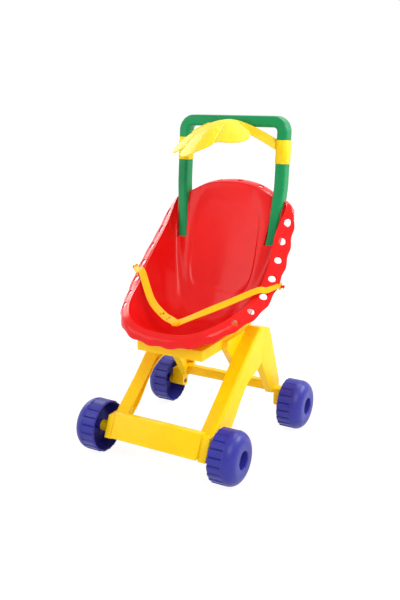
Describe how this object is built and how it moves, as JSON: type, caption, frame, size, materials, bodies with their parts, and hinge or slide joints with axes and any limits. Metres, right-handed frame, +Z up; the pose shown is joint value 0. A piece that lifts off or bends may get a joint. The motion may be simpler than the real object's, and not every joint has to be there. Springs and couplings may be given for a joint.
{
  "type": "doll stroller",
  "caption": "Toy doll stroller with an A-frame chassis, pierced bucket seat, lap belt, inverted-U push handle and a sliding petal visor.",
  "frame": {"origin": "on the ground midway between the two axles, in the mid-plane", "axes": "+Z up, +X to the stroller's left-hand wheel side seen from the front, -Y the way the doll faces; the handle is at +Y"},
  "size_m": [0.3228, 0.3362, 0.5601],
  "materials": {
    "chassis_yellow": "smooth moulded yellow plastic",
    "wheel_blue": "semi-gloss violet-blue moulded plastic",
    "screw_steel": "zinc-plated screw steel",
    "seat_red": "glossy red moulded plastic",
    "retainer_white": "natural nylon push-on cap",
    "handle_green": "glossy green blow-moulded plastic",
    "visor_yellow": "thin glossy lemon-yellow plastic",
    "belt_yellow": "soft flexible orange-yellow plastic strap"
  },
  "bodies": {
    "chassis": {"side_frame_left": "chassis_yellow", "side_frame_right": "chassis_yellow", "seat_platform": "chassis_yellow", "front_crossbar": "chassis_yellow", "rear_crossbar": "chassis_yellow", "axle_pin_front_left": "wheel_blue", "axle_pin_front_right": "wheel_blue", "axle_pin_rear_left": "wheel_blue", "axle_pin_rear_right": "wheel_blue", "frame_screw_front_left": "screw_steel", "frame_screw_front_right": "screw_steel", "frame_screw_rear_left": "screw_steel", "frame_screw_rear_right": "screw_steel", "seat_shell": "seat_red", "seat_retainer_1": "retainer_white", "seat_retainer_2": "retainer_white", "seat_retainer_3": "retainer_white", "seat_retainer_4": "retainer_white", "handle": "handle_green"},
    "wheel_front_left_body": {"wheel_front_left": "wheel_blue"},
    "wheel_front_right_body": {"wheel_front_right": "wheel_blue"},
    "wheel_rear_left_body": {"wheel_rear_left": "wheel_blue"},
    "wheel_rear_right_body": {"wheel_rear_right": "wheel_blue"},
    "visor_body": {"visor": "visor_yellow"},
    "belt_body": {"belt_strap_left": "belt_yellow", "belt_strap_right": "belt_yellow"}
  },
  "joints": [
    {"name": "wheel_front_left_spin", "type": "hinge", "parent": "chassis", "child": "wheel_front_left_body", "pos_m": [0, -0.1231, 0.045], "axis": [1, 0, 0], "continuous": true},
    {"name": "wheel_front_right_spin", "type": "hinge", "parent": "chassis", "child": "wheel_front_right_body", "pos_m": [0, -0.1231, 0.045], "axis": [1, 0, 0], "continuous": true},
    {"name": "wheel_rear_left_spin", "type": "hinge", "parent": "chassis", "child": "wheel_rear_left_body", "pos_m": [0, 0.1231, 0.045], "axis": [1, 0, 0], "continuous": true},
    {"name": "wheel_rear_right_spin", "type": "hinge", "parent": "chassis", "child": "wheel_rear_right_body", "pos_m": [0, 0.1231, 0.045], "axis": [1, 0, 0], "continuous": true},
    {"name": "visor_slide", "type": "slide", "parent": "chassis", "child": "visor_body", "axis": [0, 0.08, 0.9968], "range_m": [-0.03, 0]},
    {"name": "belt_swing", "type": "hinge", "parent": "chassis", "child": "belt_body", "pos_m": [0, 0.02485, 0.29164], "axis": [-1, 0, 0], "range_deg": [0, 20]}
  ]
}
